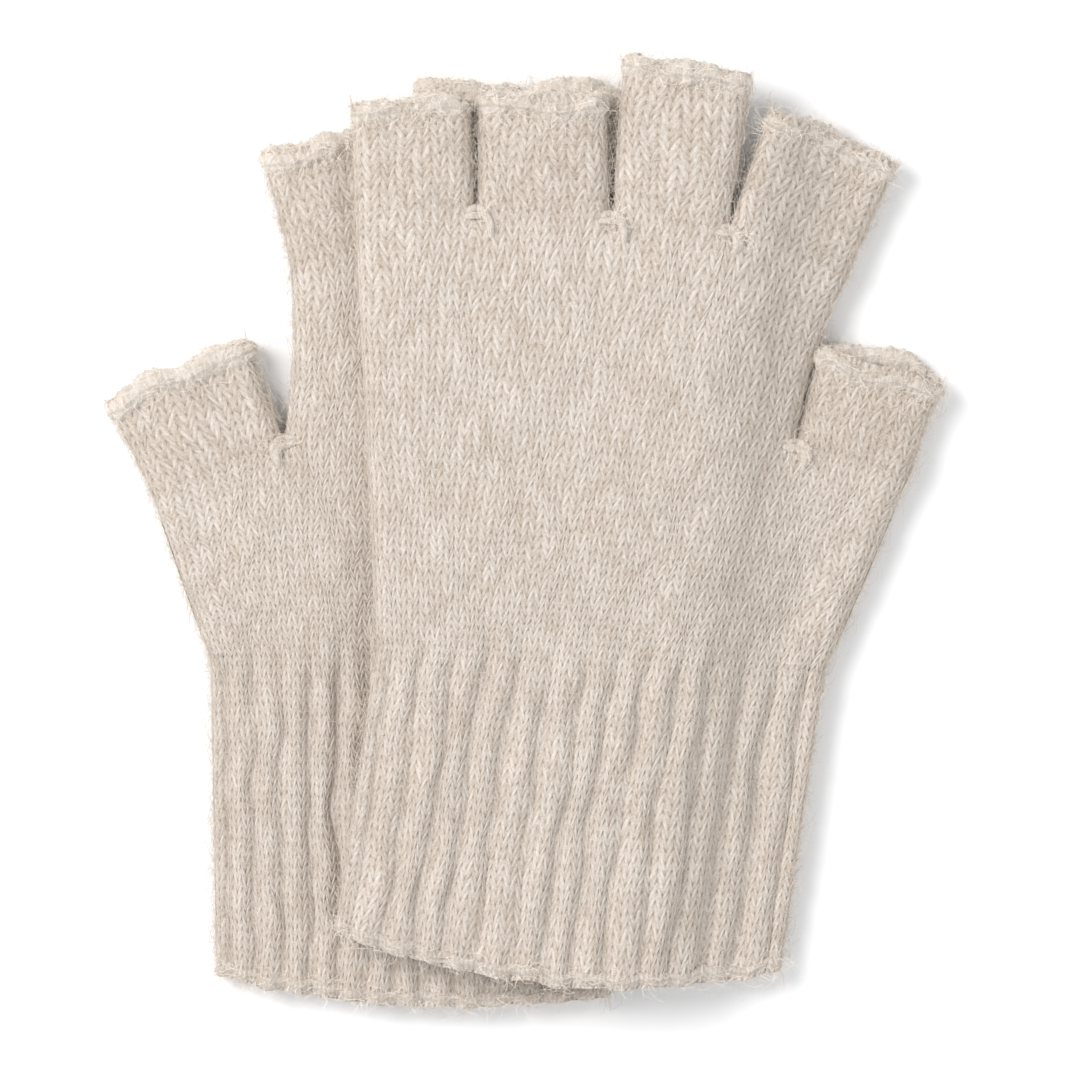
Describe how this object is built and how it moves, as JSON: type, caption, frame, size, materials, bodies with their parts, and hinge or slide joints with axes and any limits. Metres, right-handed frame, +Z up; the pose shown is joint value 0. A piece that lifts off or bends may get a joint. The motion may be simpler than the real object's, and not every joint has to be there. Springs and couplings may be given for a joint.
{
  "type": "fingerless gloves",
  "caption": "Pair of knitted wool fingerless gloves lying flat, with ribbed cuffs, open finger and thumb stalls and rolled edges.",
  "frame": {"origin": "centre of the pair's footprint, on the surface the gloves lie on", "axes": "+Y along the gloves towards the fingertips, +X towards the upper glove's thumb, +Z up from the surface, out of the palms"},
  "size_m": [0.1752, 0.199, 0.0186],
  "materials": {
    "plain_knit": "heathered cream wool in stocking stitch, soft and matt",
    "ribbed_knit": "heathered cream wool in two-by-two rib, soft and matt",
    "edge_yarn": "cream wool cast-off chain, curled and slightly fuzzy",
    "joining_yarn": "off-white wool yarn in small loops"
  },
  "bodies": {
    "left_hand": {"left_palm": "plain_knit", "left_joining_stitches": "joining_yarn"},
    "left_index_finger": {"left_index_stall": "plain_knit", "left_index_rolled_edge": "edge_yarn"},
    "left_middle_finger": {"left_middle_stall": "plain_knit", "left_middle_rolled_edge": "edge_yarn"},
    "left_ring_finger": {"left_ring_stall": "plain_knit", "left_ring_rolled_edge": "edge_yarn"},
    "left_little_finger": {"left_little_stall": "plain_knit", "left_little_rolled_edge": "edge_yarn"},
    "left_thumb": {"left_thumb_stall": "plain_knit", "left_thumb_rolled_edge": "edge_yarn"},
    "left_wrist": {"left_cuff": "ribbed_knit", "left_cuff_hem": "edge_yarn"},
    "right_hand": {"right_palm": "plain_knit", "right_joining_stitches": "joining_yarn"},
    "right_index_finger": {"right_index_stall": "plain_knit", "right_index_rolled_edge": "edge_yarn"},
    "right_middle_finger": {"right_middle_stall": "plain_knit", "right_middle_rolled_edge": "edge_yarn"},
    "right_ring_finger": {"right_ring_stall": "plain_knit", "right_ring_rolled_edge": "edge_yarn"},
    "right_little_finger": {"right_little_stall": "plain_knit", "right_little_rolled_edge": "edge_yarn"},
    "right_thumb": {"right_thumb_stall": "plain_knit", "right_thumb_rolled_edge": "edge_yarn"},
    "right_wrist": {"right_cuff": "ribbed_knit", "right_cuff_hem": "edge_yarn"}
  },
  "joints": [
    {"name": "right_glove_lift", "type": "slide", "parent": "left_hand", "child": "right_hand", "axis": [0, 0, 1], "range_m": [0, 0.1]},
    {"name": "left_index_fold", "type": "hinge", "parent": "left_hand", "child": "left_index_finger", "pos_m": [-0.03673, 0.05798, 0.0087], "axis": [0.9799, 0.1994, 0], "range_deg": [0, 70]},
    {"name": "left_middle_fold", "type": "hinge", "parent": "left_hand", "child": "left_middle_finger", "pos_m": [-0.01283, 0.06148, 0.0087], "axis": [0.9981, -0.061, 0], "range_deg": [0, 70]},
    {"name": "left_ring_fold", "type": "hinge", "parent": "left_hand", "child": "left_ring_finger", "pos_m": [0.00977, 0.06168, 0.0087], "axis": [0.9962, -0.0872, 0], "range_deg": [0, 70]},
    {"name": "left_little_fold", "type": "hinge", "parent": "left_hand", "child": "left_little_finger", "pos_m": [0.03047, 0.05818, 0.0087], "axis": [0.9925, -0.1219, 0], "range_deg": [0, 70]},
    {"name": "left_thumb_fold", "type": "hinge", "parent": "left_hand", "child": "left_thumb", "pos_m": [-0.06383, 0.01328, 0.0087], "axis": [0.9184, 0.3955, 0], "range_deg": [0, 80]},
    {"name": "left_cuff_fold", "type": "hinge", "parent": "left_hand", "child": "left_wrist", "pos_m": [-0.02293, -0.02667, 0.0087], "axis": [-1, 0.0082, 0], "range_deg": [0, 60]},
    {"name": "right_index_fold", "type": "hinge", "parent": "right_hand", "child": "right_index_finger", "pos_m": [0.05527, 0.05838, 0.01441], "axis": [0.875, -0.3535, -0.3308], "range_deg": [0, 80]},
    {"name": "right_middle_fold", "type": "hinge", "parent": "right_hand", "child": "right_middle_finger", "pos_m": [0.03067, 0.06388, 0.01822], "axis": [0.9945, -0.1045, -0.0024], "range_deg": [0, 80]},
    {"name": "right_ring_fold", "type": "hinge", "parent": "right_hand", "child": "right_ring_finger", "pos_m": [0.00417, 0.06628, 0.0182], "axis": [0.9999, 0.0105, 0], "range_deg": [0, 80]},
    {"name": "right_little_fold", "type": "hinge", "parent": "right_hand", "child": "right_little_finger", "pos_m": [-0.02243, 0.06718, 0.0182], "axis": [0.9989, 0.0471, 0], "range_deg": [0, 80]},
    {"name": "right_thumb_fold", "type": "hinge", "parent": "right_hand", "child": "right_thumb", "pos_m": [0.06887, 0.01508, 0.00905], "axis": [0.9609, -0.2755, -0.0286], "range_deg": [0, 80]},
    {"name": "right_cuff_fold", "type": "hinge", "parent": "right_hand", "child": "right_wrist", "pos_m": [0.01632, -0.02627, 0.0182], "axis": [-0.9979, 0.065, 0], "range_deg": [0, 90]}
  ],
  "couplings": [
    {"joint": "left_index_fold", "follows": "right_glove_lift", "rad_per_m": 12.2},
    {"joint": "left_middle_fold", "follows": "right_glove_lift", "rad_per_m": 12.2},
    {"joint": "left_ring_fold", "follows": "right_glove_lift", "rad_per_m": 12.2},
    {"joint": "left_little_fold", "follows": "right_glove_lift", "rad_per_m": 12.2},
    {"joint": "left_cuff_fold", "follows": "right_glove_lift", "rad_per_m": 10.4}
  ]
}
